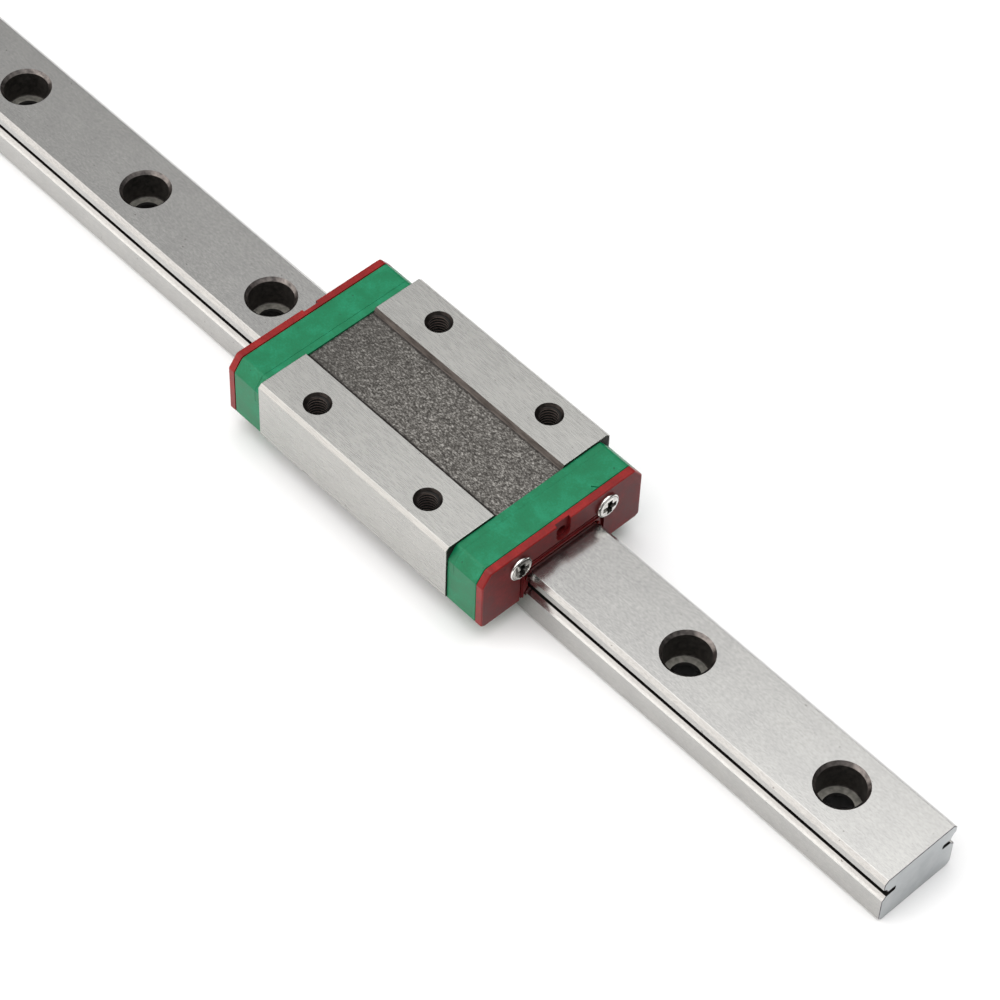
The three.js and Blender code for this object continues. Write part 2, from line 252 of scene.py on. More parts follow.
def sawn_steel():
    """The rail's cut ends: fine level lines, a little darker in patches."""
    made, tree, shader = fresh("sawn_end", Metallic=1.0)
    lines = grain(tree, stretched(tree, 5000, 700, 5200), 2, 0.5)
    cloud = grain(tree, stretched(tree, 300, 300, 300), 3, 0.55)
    tone = calc(tree, "MULTIPLY_ADD", lines, 0.45, calc(tree, "MULTIPLY", cloud, 0.55))
    colour = ramp(tree, tone, [(0.34, linear(158, 162, 164)), (0.66, linear(182, 185, 186))])
    put(tree, shader.inputs["Base Color"], colour)
    put(tree, shader.inputs["Roughness"], calc(tree, "MULTIPLY_ADD", lines, 0.2, 0.22))
    put(tree, shader.inputs["Normal"], bumped(tree, lines, 0.3, 0.000004))
    return made


def cast_steel():
    """The unground recess: dark grey scale with bright grains, with painted shade towards the rear and
    in the corners at the foot of the walls.
    """
    made, tree, shader = fresh("cast_scale", Metallic=0.8, Specular_IOR_Level=0.5)
    fine = grain(tree, stretched(tree, 3400, 5600, 5000), 2, 0.6)
    coarse = grain(tree, stretched(tree, 900, 900, 900), 2, 0.5)
    tone = calc(tree, "MULTIPLY_ADD", fine, 0.88, calc(tree, "MULTIPLY", coarse, 0.12))
    colour = ramp(
        tree,
        tone,
        [(0.34, linear(58, 55, 52)), (0.52, linear(98, 95, 91)), (0.70, linear(168, 165, 160))],
    )
    place = node(tree, "ShaderNodeTexCoord").outputs["Object"]
    along = node(tree, "ShaderNodeSeparateXYZ", {0: place})
    # Painted shade: the floor darkens towards the rear.
    rear = node(
        tree, "ShaderNodeMapRange", {0: along.outputs[0], 1: 0.014, 2: 0.002, 3: 0.0, 4: 0.42}
    ).outputs[0]
    colour = mix(tree, rear, colour, linear(66, 64, 61))
    # Painted shade: a dark band along the foot of both walls, its edge wavering with the coarse grain.
    side = calc(tree, "ABSOLUTE", along.outputs[1])
    waver = calc(tree, "MULTIPLY_ADD", coarse, 0.0003, side)
    corner = node(
        tree,
        "ShaderNodeMapRange",
        {0: waver, 1: 0.00512, 2: 0.00542, 3: 0.0, 4: 1.0},
        interpolation_type="SMOOTHSTEP",
    ).outputs[0]
    colour = mix(tree, calc(tree, "MULTIPLY", corner, 0.85), colour, linear(36, 32, 30))
    put(tree, shader.inputs["Base Color"], colour)
    put(tree, shader.inputs["Roughness"], calc(tree, "MULTIPLY_ADD", fine, 0.3, 0.34))
    put(tree, shader.inputs["Normal"], bumped(tree, fine, 0.8, 0.00004))
    return made


def drawn_wall():
    """The recess walls: smooth grey-brown drawn skin with a ragged tone."""
    made, tree, shader = fresh("drawn_skin", Metallic=0.9)
    streak = grain(tree, stretched(tree, 420, 2600, 2600), 3, 0.6)
    colour = ramp(tree, streak, [(0.3, linear(62, 57, 54)), (0.7, linear(112, 105, 100))])
    put(tree, shader.inputs["Base Color"], colour)
    put(tree, shader.inputs["Roughness"], calc(tree, "MULTIPLY_ADD", streak, 0.25, 0.35))
    put(tree, shader.inputs["Normal"], bumped(tree, streak, 0.5, 0.00002))
    return made


def dark_steel(name, low, high, rough, metallic=0.6):
    """Darker steel with blotches, for bores, slots and unground ends; where it lines bores and slots
    its dark colour is painted shade.
    """
    made, tree, shader = fresh(name, Metallic=metallic)
    blotch = grain(tree, stretched(tree, 1400, 1400, 1400), 4, 0.6)
    put(tree, shader.inputs["Base Color"], ramp(tree, blotch, [(0.35, low), (0.68, high)]))
    put(tree, shader.inputs["Roughness"], calc(tree, "MULTIPLY_ADD", blotch, 0.25, rough))
    put(tree, shader.inputs["Normal"], bumped(tree, blotch, 0.4, 0.00003))
    return made


def moulded(name, deep, mid, pale, rough, ior=1.5):
    """Moulded plastic: soft mottling, fine orange-peel, and scattered scuffs."""
    made, tree, shader = fresh(name, IOR=ior)
    mottle = grain(tree, stretched(tree, 420, 420, 420), 3, 0.55)
    peel = grain(tree, stretched(tree, 3800, 3800, 3800), 2, 0.5)
    tone = calc(tree, "MULTIPLY_ADD", peel, 0.35, calc(tree, "MULTIPLY", mottle, 0.65))
    colour = ramp(tree, tone, [(0.34, deep), (0.5, mid), (0.66, pale)])
    scuff = grain(tree, stretched(tree, 260, 2900, 700), 4, 0.7)
    scuffs = ramp(tree, scuff, [(0.66, 0.0), (0.74, 0.35)])
    colour = mix(tree, scuffs, colour, pale)
    speck = grain(tree, stretched(tree, 1700, 1300, 1500), 1, 0.4)
    specks = ramp(tree, speck, [(0.755, 0.0), (0.80, 0.55)])
    shade = tuple(0.25 * level for level in deep)
    put(tree, shader.inputs["Base Color"], mix(tree, specks, colour, shade))
    put(tree, shader.inputs["Roughness"], calc(tree, "MULTIPLY_ADD", tone, 0.3, rough - 0.15))
    put(tree, shader.inputs["Normal"], bumped(tree, peel, 0.25, 0.00002))
    return made


def polished(name, low, high, rough):
    """Plated or hardened bright steel, with faint handling marks."""
    made, tree, shader = fresh(name, Metallic=1.0)
    marks = grain(tree, stretched(tree, 2200, 2200, 2200), 4, 0.6)
    put(tree, shader.inputs["Base Color"], ramp(tree, marks, [(0.35, low), (0.6, high)]))
    put(tree, shader.inputs["Roughness"], calc(tree, "MULTIPLY_ADD", marks, 0.12, rough - 0.05))
    put(tree, shader.inputs["Normal"], bumped(tree, marks, 0.1, 0.00001))
    return made


RAIL_STEEL = ground_steel("ground_rail", linear(172, 171, 169), linear(186, 185, 182), 0.20, 3)
BLOCK_STEEL = ground_steel("ground_block", linear(172, 171, 168), linear(184, 183, 179), 0.28, 9)
SAWN = sawn_steel()
END_EDGE = dark_steel("end_edge", linear(86, 84, 88), linear(140, 138, 142), 0.45, 1.0)
CAST = cast_steel()
DRAWN = drawn_wall()
# Near-black steel: painted shade inside the rail's slots, deep bores and between thread crests.
BORE_SHADE = dark_steel("painted_shade_bore", linear(12, 11, 10), linear(30, 27, 25), 0.5)
BORE_WALL = dark_steel("bore_wall", linear(40, 37, 35), linear(74, 70, 66), 0.4)
BORE_FLOOR = dark_steel("bore_floor", linear(100, 98, 92), linear(140, 137, 129), 0.4, 0.15)
BORE_RIM = dark_steel("bore_rim", linear(92, 88, 86), linear(146, 139, 135), 0.2, 1.0)
DARK_END = dark_steel("unground_end", linear(22, 20, 19), linear(58, 54, 51), 0.5)
THREAD = dark_steel("tapped_thread", linear(150, 134, 126), linear(186, 168, 160), 0.3, 0.45)
TAP_RIM = dark_steel("tapped_rim", linear(34, 31, 29), linear(60, 54, 51), 0.3, 0.9)
GREEN = moulded(
    "moulded_green", linear(0, 104, 65), linear(2, 113, 73), linear(18, 128, 90), 0.42, 1.38
)
RED = moulded("moulded_red", linear(112, 4, 3), linear(128, 8, 6), linear(148, 22, 18), 0.40, 1.38)
# The same red darkened for the seal's end faces and the faces cut into them: painted shade, with a
# little more roughness.
SHADED_RED_FACE = moulded("matt_red_painted_shade", linear(84, 6, 8), linear(98, 12, 14), linear(118, 28, 30), 0.5, 1.38)
CHROME = polished("bright_plating", linear(196, 194, 190), linear(232, 230, 226), 0.1)
# A dark copy of the plating: painted shade in the screw's cross recess and a painted dark reflection on
# the ring round its crown.
SCREW_PAINTED_DARK = dark_steel("screw_painted_shade_and_reflection", linear(34, 33, 31), linear(96, 94, 90), 0.12, 1.0)
BALL = polished("polished_ball", linear(204, 205, 207), linear(226, 227, 229), 0.08)
WIRE = polished("drawn_wire", linear(140, 142, 145), linear(186, 187, 190), 0.24)
NATURAL = moulded(
    "moulded_natural", linear(218, 212, 196), linear(229, 224, 210), linear(238, 234, 222), 0.5
)

# ---------------------------------------------------------------- shape tools

PAST = 1  # how far a cutter runs past what it cuts
SAME_POINT = 0.00002
SHARP_EDGE = math.radians(32)


def new_piece(name, verts, faces, materials, kinds=None):
    """A mesh object in millimetres; kinds gives each face the number of its material."""
    mesh = bpy.data.meshes.new(name)
    mesh.from_pydata([tuple(v) for v in verts], [], faces)
    for material in materials:
        mesh.materials.append(material)
    if kinds:
        mesh.polygons.foreach_set("material_index", kinds)
    bm = bmesh.new()
    bm.from_mesh(mesh)
    bmesh.ops.recalc_face_normals(bm, faces=bm.faces)
    bm.to_mesh(mesh)
    bm.free()
    piece = bpy.data.objects.new(name, mesh)
    scene.collection.objects.link(piece)
    return piece


def apply_modifiers(piece):
    graph = bpy.context.evaluated_depsgraph_get()
    made = bpy.data.meshes.new_from_object(piece.evaluated_get(graph))
    piece.modifiers.clear()
    old = piece.data
    piece.data = made
    bpy.data.meshes.remove(old)


def combine(piece, others, operation="DIFFERENCE"):
    """Cuts closed solids from a piece, or joins them to it. Cut faces keep the cutter's material."""
    group = bpy.data.collections.new("operands")
    scene.collection.children.link(group)
    for other in others:
        scene.collection.objects.unlink(other)
        group.objects.link(other)
    modifier = piece.modifiers.new("combine", "BOOLEAN")
    modifier.operation = operation
    modifier.operand_type = "COLLECTION"
    modifier.collection = group
    modifier.solver = "EXACT"
    modifier.material_mode = "TRANSFER"
    apply_modifiers(piece)
    for other in others:
        mesh = other.data
        bpy.data.objects.remove(other)
        bpy.data.meshes.remove(mesh)
    bpy.data.collections.remove(group)


def filleted(outline, radius, steps=4, closed=True):
    """Rounds the corners of an outline of (y, z) points; a point's third number is its own radius."""
    made = []
    count = len(outline)
    for i, point in enumerate(outline):
        here = Vector(point[:2])
        size = point[2] if len(point) > 2 else radius
        if not size or (not closed and i in (0, count - 1)):
            made.append(here)
            continue
        to_last = Vector(outline[i - 1][:2]) - here
        to_next = Vector(outline[(i + 1) % count][:2]) - here
        half = to_last.angle(to_next) / 2
        reach = min(size / math.tan(half), 0.48 * to_last.length, 0.48 * to_next.length)
        real = reach * math.tan(half)
        a = to_last.normalized()
        b = to_next.normalized()
        centre = here + (a + b).normalized() * (real / math.sin(half))
        start = here + a * reach - centre
        end = here + b * reach - centre
        sweep = math.atan2(start.x * end.y - start.y * end.x, start.dot(end))
        for k in range(steps + 1):
            made.append(centre + Matrix.Rotation(sweep * k / steps, 2) @ start)
    return made


def mirrored(half):
    """Completes a half outline with its mirror image across y = 0."""
    return [*half, *[(-p[0], *p[1:]) for p in reversed(half)]]


def arc(y, z, radius, start, end, steps):
    """Points on a circle, from one angle in degrees to another, with no rounding of their own."""
    angles = [math.radians(start + (end - start) * k / steps) for k in range(steps + 1)]
    return [(y + radius * math.cos(a), z + radius * math.sin(a), 0) for a in angles]


def anticlockwise(points):
    """The outline with its points in the order that inset and extruded need."""
    area = sum(a.x * b.y - b.x * a.y for a, b in zip(points, points[1:] + points[:1]))
    return points if area > 0 else points[::-1]


def inset(points, depth):
    """An anticlockwise outline moved inwards. The depth must be less than its corners' roundings."""
    if not depth:
        return points
    least = 0.35  # keeps sharp corners from running far
    made = []
    for last, here, after in zip(points[-1:] + points[:-1], points, points[1:] + points[:1]):
        a = (here - last).normalized()
        b = (after - here).normalized()
        na = Vector((-a.y, a.x))
        nb = Vector((-b.y, b.x))
        made.append(here + (na + nb) * (depth / max(1 + na.dot(nb), least)))
    return made


def stations(x0, x1, round0=0.0, round1=0.0, steps=3):
    """Where an extrusion's sections stand, as (x, inset), with its two end edges rounded."""
    def end(x, radius, way):
        if not radius:
            return [(x, 0.0)]
        angles = [math.pi / 2 * (1 - k / steps) for k in range(steps + 1)]
        return [
            (x + way * radius * (1 - math.sin(a)), radius * (1 - math.cos(a))) for a in angles
        ]

    low, high = sorted((x0, x1))
    if x0 > x1:
        round0, round1 = round1, round0
    return end(low, round0, 1) + end(high, round1, -1)[::-1]


def extruded(name, outline, places, materials):
    """An outline of (y, z) points run along X through stations.

    The last of several materials is for the end faces, and the middle one of three for their edges.
    """
    points = anticlockwise([Vector(p[:2]) for p in outline])
    count = len(points)
    verts = [(x, *p) for x, depth in places for p in inset(points, depth)]
    faces = []
    kinds = []
    for s in range(len(places) - 1):
        edge = len(materials) > 2 and places[s][1] != places[s + 1][1]
        for j in range(count):
            k = (j + 1) % count
            faces.append((s * count + j, s * count + k, (s + 1) * count + k, (s + 1) * count + j))
            kinds.append(1 if edge else 0)
    kinds += [len(materials) - 1] * 2
    faces.append(tuple(reversed(range(count))))
    faces.append(tuple(range(len(verts) - count, len(verts))))
    return new_piece(name, verts, faces, materials, kinds)


def lathed(name, profile, materials, place, segments=64):
    """A turned solid from (radius, height, material number) points that start and end on the axis."""
    verts = []
    rings = []
    for point in profile:
        if point[0] == 0:
            rings.append([len(verts)] * segments)
            verts.append(place @ Vector((0, 0, point[1])))
            continue
        rings.append(list(range(len(verts), len(verts) + segments)))
        for k in range(segments):
            angle = 2 * math.pi * k / segments
            spot = Vector((point[0] * math.cos(angle), point[0] * math.sin(angle), point[1]))
            verts.append(place @ spot)
    faces = []
    kinds = []
    for low, high, point in zip(rings, rings[1:], profile):
        for k in range(segments):
            n = (k + 1) % segments
            faces.append(list(dict.fromkeys((low[k], low[n], high[n], high[k]))))
            kinds.append(point[2] if len(point) > 2 else 0)
    return new_piece(name, verts, faces, materials, kinds)


def block(name, low, high, material):
    """A plain cutter between two corners."""
    outline = [(low[1], low[2]), (high[1], low[2]), (high[1], high[2]), (low[1], high[2])]
    return extruded(name, outline, stations(low[0], high[0]), [material])


def threaded(name, crest, root, pitch, turns, materials, place, segments):
    """A bar with a helical thread, turns plus one pitches long, its rows of points along the helix.

    The last of the materials goes on the flat of the crest, the first on the rest.
    """
    radii = [crest, crest, root, root]
    rows = len(radii)
    total = turns * rows
    verts = []
    columns = []
    for k in range(segments):
        angle = 2 * math.pi * k / segments
        last = total + (rows if k == 0 else 0)
        columns.append(range(len(verts), len(verts) + last + 1))
        for i in range(last + 1):
            radius = radii[i % rows]
            height = pitch * (i / rows + k / segments)
            spot = Vector((radius * math.cos(angle), radius * math.sin(angle), height))
            verts.append(place @ spot)
    faces = []
    kinds = []
    for k in range(segments):
        column = columns[k]
        after = columns[k + 1] if k + 1 < segments else columns[0][rows:]
        for i in range(total):
            faces.append((column[i], after[i], after[i + 1], column[i + 1]))
            kinds.append(len(materials) - 1 if i % rows == 0 else 0)
    for i, middle in ((0, pitch / 2), (total, pitch * (turns + 0.5))):
        rim = [column[i] for column in columns] + [columns[0][i + rows - j] for j in range(rows)]
        verts.append(place @ Vector((0, 0, middle)))
        faces += [(a, b, len(verts) - 1) for a, b in zip(rim, rim[1:] + rim[:1])]
        kinds += [0] * len(rim)
    return new_piece(name, verts, faces, materials, kinds)


def along_x(x, y, z, way=1):
    """Lays something turned about Z along X, its top towards way."""
    return Matrix.Translation((x, y, z)) @ Matrix.Rotation(way * math.pi / 2, 4, "Y")


def upright(x, y, z):
    return Matrix.Translation((x, y, z))


def bar_x(name, radius, x0, x1, y, z, material):
    """A plain round bar along X."""
    length = abs(x1 - x0)
    profile = [(0, 0), (radius, 0), (radius, length), (0, length)]
    return lathed(name, profile, [material], along_x(min(x0, x1), y, z), 32)


def dress(piece, body, nodes, cleaned=True):
    """Puts a finished shape in the frame: metres, shading, body and the nodes it replaces."""
    bm = bmesh.new()
    bm.from_mesh(piece.data)
    if cleaned:
        bmesh.ops.remove_doubles(bm, verts=bm.verts, dist=SAME_POINT)
        bmesh.ops.dissolve_degenerate(bm, edges=bm.edges, dist=SAME_POINT)
    bm.to_mesh(piece.data)
    bm.free()
    piece.data.transform(Matrix.Scale(METRES, 4))
    piece.data.polygons.foreach_set("use_smooth", [True] * len(piece.data.polygons))
    piece.data.set_sharp_from_angle(angle=SHARP_EDGE)
    weighted = piece.modifiers.new("weighted", "WEIGHTED_NORMAL")
    weighted.keep_sharp = True
    apply_modifiers(piece)
    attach(piece, body)
    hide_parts(*nodes)


def corners(node_name):
    """A node's lowest and highest corners in millimetres."""
    low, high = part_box(node_name)
    return low / METRES, high / METRES


# ---------------------------------------------------------------- sizes, from the frame

RAIL_LOW, RAIL_HIGH = corners("rail")
BLOCK_LOW, BLOCK_HIGH = corners("carriage_block")
CAP_HIGH = corners("end_cap_front")[1]
SEAL_HIGH = corners("end_seal_front")[1]
BALL_LOW, BALL_HIGH = corners("load_ball_left_01")
CENTRE_X = (BLOCK_LOW.x + BLOCK_HIGH.x) / 2
HALF_BLOCK = (BLOCK_HIGH.x - BLOCK_LOW.x) / 2
HALF_BODY = CAP_HIGH.x - CENTRE_X
HALF_ALL = SEAL_HIGH.x - CENTRE_X
BALL_RADIUS = (BALL_HIGH.z - BALL_LOW.z) / 2
LOAD_Y = (BALL_LOW.y + BALL_HIGH.y) / 2
TRACK_Z = (BALL_LOW.z + BALL_HIGH.z) / 2
ENDS = (("front", 1), ("rear", -1))
SIDES = (("left", 1), ("right", -1))

# ---------------------------------------------------------------- sizes, the same as in the CAD

RAIL_FOOT = 0.5
RAIL_CHAMFER = 0.55
SLOT_Y = 3.9
SLOT_LOW = 4.65
SLOT_HIGH = 5.58
HOLE_COUNT = 8
HOLE_PITCH = 25
HOLE_RADIUS = 1.75
COUNTERBORE_RADIUS = 3.0
COUNTERBORE_DEPTH = 4.5

TRACK_RADIUS = 1.3
RETURN_Y = 10.5
RETURN_RADIUS = 1.3
BEND_RADIUS = (RETURN_Y - LOAD_Y) / 2
BEND_Y = (RETURN_Y + LOAD_Y) / 2

CHANNEL_Y = 6.45
CHANNEL_TOP = 8.5
BLOCK_FOOT = 0.4
BLOCK_CHAMFER = 0.5
RECESS_Y = 5.8
RECESS_WALL = 0.45
RECESS_DEPTH = 0.7
TAP_REACH = 10  # from the block's middle to each tapped hole, both ways
TAP_DEPTH = 3.8

SHOULDER_Y = 1.35
SHOULDER_Z = 1.8
SCREW_Y = 7.2
SCREW_Z = 10.0
SCREW_HOLE_RADIUS = 1.15
GREASE_Z = 10.6
GREASE_RADIUS = 0.75
NOTCH_RADIUS = 1.15
NOTCH_DEPTH = 0.45

WIRE_RADIUS = 0.2
WIRE_REACH = HALF_BLOCK + 3.85
WIRE_Y = 5.05
WIRE_TIP_Y = 7.3
BALLS_IN_ROW = 14

# ---------------------------------------------------------------- rail


def make_rail():
    half = RAIL_HIGH.y
    top = RAIL_HIGH.z
    spread = math.degrees(math.acos((LOAD_Y - half) / TRACK_RADIUS))
    outline = mirrored(
        [
            (half - RAIL_FOOT, 0, 0.15),
            (half, RAIL_FOOT, 0.15),
            *arc(LOAD_Y, TRACK_Z, TRACK_RADIUS, 180 + spread, 180 - spread, 18),
            (half, top - RAIL_CHAMFER, 0.12),
            (half - RAIL_CHAMFER, top, 0.09),
        ]
    )
    outline = filleted(outline, 0.0, 3)
    places = stations(RAIL_LOW.x, RAIL_HIGH.x, 0.08, 0.08)
    rail = extruded("rail_visual", outline, places, [RAIL_STEEL, END_EDGE, SAWN])
    cutters = []
    for _, side in SIDES:
        slot = [
            (side * SLOT_Y, SLOT_LOW + 0.1, 0.2),
            (side * half, SLOT_LOW, 0),
            (side * half, SLOT_HIGH, 0),
            (side * SLOT_Y, SLOT_HIGH, 0.2),
        ]
        places = stations(RAIL_LOW.x - PAST, RAIL_HIGH.x + PAST)
        cutters.append(extruded("slot", filleted(slot, 0.0, 4), places, [BORE_SHADE]))
    floor = top - COUNTERBORE_DEPTH
    rim = 0.44
    profile = [
        (0, -PAST, 0),
        (HOLE_RADIUS + 0.4, -PAST, 0),
        (HOLE_RADIUS, 0.4, 0),
        (HOLE_RADIUS, floor - 0.22, 0),
        (HOLE_RADIUS + 0.2, floor, 2),
        (COUNTERBORE_RADIUS - 0.1, floor, 1),
        (COUNTERBORE_RADIUS, floor + 0.1, 1),
        (COUNTERBORE_RADIUS, top - rim, 3),
        (COUNTERBORE_RADIUS + rim + PAST, top + PAST, 3),
        (0, top + PAST, 3),
    ]
    materials = [BORE_SHADE, BORE_WALL, BORE_FLOOR, BORE_RIM]
    for i in range(HOLE_COUNT):
        x = (i - (HOLE_COUNT - 1) / 2) * HOLE_PITCH
        cutters.append(lathed("bore", profile, materials, upright(x, 0, 0), 96))
    combine(rail, cutters)
    dress(rail, "rail", ["rail"])


# ---------------------------------------------------------------- carriage block


def recess_cutter():
    """The tool for the recess: its underside is rough, so that the floor it leaves is gritty."""
    top = BLOCK_HIGH.z
    slope = RECESS_WALL / RECESS_DEPTH
    floor_y = RECESS_Y - RECESS_WALL
    over = 0.4
    step = 0.14
    grit = 0.11
    waves = 0.03
    fade = 0.5  # the roughness dies away this near the top and the walls
    half = [
        (RECESS_Y + over * slope, top + over),
        (RECESS_Y, top),
        (floor_y, top - RECESS_DEPTH, 0.3),
    ]
    line = filleted([(-p[0], *p[1:]) for p in half] + half[::-1], 0.0, 6, closed=False)
    profile = []
    for a, b in zip(line, line[1:]):
        pieces = max(1, round((b - a).length / step))
        profile += [a.lerp(b, k / pieces) for k in range(pieces)]
    profile.append(line[-1])
    columns = round((2 * HALF_BLOCK + 2 * over) / step)
    verts = []
    for i in range(columns + 1):
        x = CENTRE_X - HALF_BLOCK - over + (2 * HALF_BLOCK + 2 * over) * i / columns
        for y, z in profile:
            depth = min(1, max(0, (top - 0.03 - z) / fade))
            flat = min(1, max(0, (floor_y - abs(y)) / fade))
            bumps = (
                0.4 * noise.noise((x * 2.7, y * 2.7, 1.7))
                + 0.6 * noise.noise((x * 5.3, y * 5.3, 8.1))
            )
            swell = noise.noise((x * 0.35, y * 0.35, 4.2))
            verts.append((x, y, z + depth * (grit * bumps * flat + waves * swell)))
    rows = len(profile)
    faces = []
    kinds = []
    for i in range(columns):
        for j in range(rows - 1):
            a = i * rows + j
            faces.append((a, a + 1, a + rows + 1, a + rows))
            wall = abs(profile[j].x + profile[j + 1].x) / 2 > floor_y + 0.02
            kinds.append(1 if wall else 0)
        faces.append((i * rows, (i + 1) * rows, (i + 2) * rows - 1, (i + 1) * rows - 1))
        kinds.append(1)
    faces.append(tuple(range(rows)))
    faces.append(tuple(range(columns * rows, (columns + 1) * rows)))
    return new_piece("recess", verts, faces, [CAST, DRAWN], kinds + [0, 0])


def make_block():
    half = BLOCK_HIGH.y
    top = BLOCK_HIGH.z
    bottom = BLOCK_LOW.z
    spread = math.degrees(math.acos((LOAD_Y - CHANNEL_Y) / TRACK_RADIUS))
    outline = mirrored(
        [
            (CHANNEL_Y, CHANNEL_TOP, 0.3),
            *arc(LOAD_Y, TRACK_Z, TRACK_RADIUS, 180 - spread, spread - 180, 24),
            (CHANNEL_Y, bottom, 0.15),
            (half - BLOCK_FOOT, bottom, 0.15),
            (half, bottom + BLOCK_FOOT, 0.15),
            (half, top - BLOCK_CHAMFER, 0.12),
            (half - BLOCK_CHAMFER, top, 0.12),
        ]
    )
    outline = filleted(outline, 0.0, 3)
    x0 = BLOCK_LOW.x
    x1 = BLOCK_HIGH.x
    places = stations(x0, x1, 0.07, 0.07)
    body = extruded("carriage_block_visual", outline, places, [BLOCK_STEEL, DARK_END])
    cutters = [recess_cutter()]
    length = 2 * HALF_BLOCK
    mouth = 0.2
    sink = 0.35
    bore = [
        (0, -PAST),
        (RETURN_RADIUS + mouth, -PAST),
        (RETURN_RADIUS + mouth, 0),
        (RETURN_RADIUS, sink),
        (RETURN_RADIUS, length - sink),
        (RETURN_RADIUS + mouth, length),
        (RETURN_RADIUS + mouth, length + PAST),
        (0, length + PAST),
    ]
    rim = [(0, -0.5), (1.3, -0.5), (1.5, -0.32), (2.82, PAST), (0, PAST)]
    for _, side in SIDES:
        place = along_x(x0, side * RETURN_Y, TRACK_Z)
        cutters.append(lathed("return_bore", bore, [BORE_SHADE], place, 48))
        for _, end in ENDS:
            x = CENTRE_X + end * TAP_REACH
            y = side * TAP_REACH
            place = upright(x, y, top - TAP_DEPTH)
            # The thread's flanks and roots take the near-black steel as painted shade; its crest flats
            # keep a steel colour.
            cutters.append(
                threaded(
                    "tap", crest=1.24, root=1.52, pitch=0.5, turns=8,
                    materials=[BORE_SHADE, THREAD], place=place, segments=48,
                )
            )
            cutters.append(lathed("rim", rim, [TAP_RIM], upright(x, y, top), 64))
            face = CENTRE_X + end * HALF_BLOCK
            place = along_x(face + end * PAST, side * SCREW_Y, SCREW_Z, -end)
            cutters.append(
                threaded(
                    "screw_tap", crest=0.97, root=1.12, pitch=0.4, turns=12,
                    materials=[BORE_SHADE], place=place, segments=24,
                )
            )
    combine(body, cutters)
    dress(body, "carriage", ["carriage_block"])


# ---------------------------------------------------------------- end caps and seals


def end_outline(lower):
    """The outline that a cap and a seal share, from the points of its lower half."""
    half = CAP_HIGH.y
    top = CAP_HIGH.z
    return mirrored([*lower, (half, top - SHOULDER_Z, 0.5), (half - SHOULDER_Y, top, 0.6)])


def bend_pocket(end, side):
    """The hollow in a cap that the balls turn round in."""
    room = 1.35
    height = 1.1
    inner = BEND_RADIUS - math.sqrt(room**2 - height**2)
    round_track = [
        (BEND_RADIUS + room * math.cos(a), TRACK_Z + room * math.sin(a))
        for a in (math.radians(-90 + 15 * k) for k in range(13))
    ]
    profile = [
        (0, TRACK_Z - height),
        (inner, TRACK_Z - height),
        *round_track,
        (inner, TRACK_Z + height),
        (0, TRACK_Z + height),
    ]
    place = upright(CENTRE_X + end * HALF_BLOCK, side * BEND_Y, 0)
    return lathed("bend", profile, [GREEN], place, 48)


def seam(outline, end, width):
    """The fine parting line near the block: over the top, down the sides, and back to the block."""
    from_block = 1.05
    x = CENTRE_X + end * (HALF_BLOCK + from_block)
    foot = 9.0
    clear = 14
    slit = block("slit", (x - width / 2, -clear, foot), (x + width / 2, clear, clear), GREEN)
    core = inset(anticlockwise(outline), width)
    combine(slit, [extruded("core", core, stations(x - PAST, x + PAST), [GREEN])])
    legs = []
    face = CENTRE_X + end * (HALF_BLOCK - 0.5)
    low, high = sorted((face, x + end * width / 2))
    top = foot + 0.01  # a little into the slit
    for _, side in SIDES:
        y0, y1 = sorted((side * (CAP_HIGH.y - width), side * clear))
        legs.append(block("leg", (low, y0, top - width), (high, y1, top), GREEN))
    return [slit, *legs]


def make_cap(end_name, end):
    node_name = f"end_cap_{end_name}"
    low, high = corners(node_name)
    half = high.y
    lower = [(CHANNEL_Y, CHANNEL_TOP, 0.3), (CHANNEL_Y, low.z, 0.18), (half, low.z, 0.2)]
    outline = filleted(end_outline(lower), 0.1, 4)
    inner = CENTRE_X + end * HALF_BLOCK
    outer = CENTRE_X + end * HALF_BODY
    places = stations(inner, outer, 0.06, 0.14)
    cap = extruded(f"{node_name}_visual", outline, places, [GREEN])
    cutters = seam(outline, end, 0.02 if end > 0 else 0.05)
    room = 0.3
    for _, side in SIDES:
        y = side * SCREW_Y
        cutters.append(bend_pocket(end, side))
        cutters.append(
            bar_x("hole", SCREW_HOLE_RADIUS, inner - end, outer + end, y, SCREW_Z, GREEN)
        )
        x = CENTRE_X + end * WIRE_REACH
        y0, y1 = sorted((side * (WIRE_Y + 0.35), side * (WIRE_TIP_Y + room)))
        low_corner = (x - room, y0, TRACK_Z - room)
        high_corner = (x + room, y1, TRACK_Z + room)
        cutters.append(block("wire_pocket", low_corner, high_corner, GREEN))
    cutters.append(
        bar_x("grease", GREASE_RADIUS, outer - end * 3, outer + end, 0, GREASE_Z, GREEN)
    )
    if end > 0:
        nick = block("nick", (-0.42, -0.09, -0.16), (0.42, 0.09, PAST), GREEN)
        place = Matrix.Translation((outer - 0.36, 6.45, high.z))
        nick.data.transform(place @ Matrix.Rotation(0.7, 4, "Z"))
        cutters.append(nick)
    combine(cap, cutters)
    dress(cap, "carriage", [node_name])


def lip_cutter(outer, end, low):
    """What is cut away round the rail, to leave two steps that stand out of a shallow window."""
    def bay(name, half, top, corner, start, stop):
        points = [(half, low - PAST, 0), (half, top, corner)]
        places = stations(outer + end * start, outer + end * stop)
        return extruded(name, filleted(mirrored(points), 0.0, 4), places, [SHADED_RED_FACE])

    window = bay("window", 6.95, 9.4, 0.4, -0.4, PAST)
    broad_step = bay("broad_step", 6.5, 8.8, 0.25, -PAST, -0.2)
    narrow_step = bay("narrow_step", 6.3, 8.4, 0.2, -PAST, -0.04)
    combine(window, [broad_step, narrow_step])
    return window


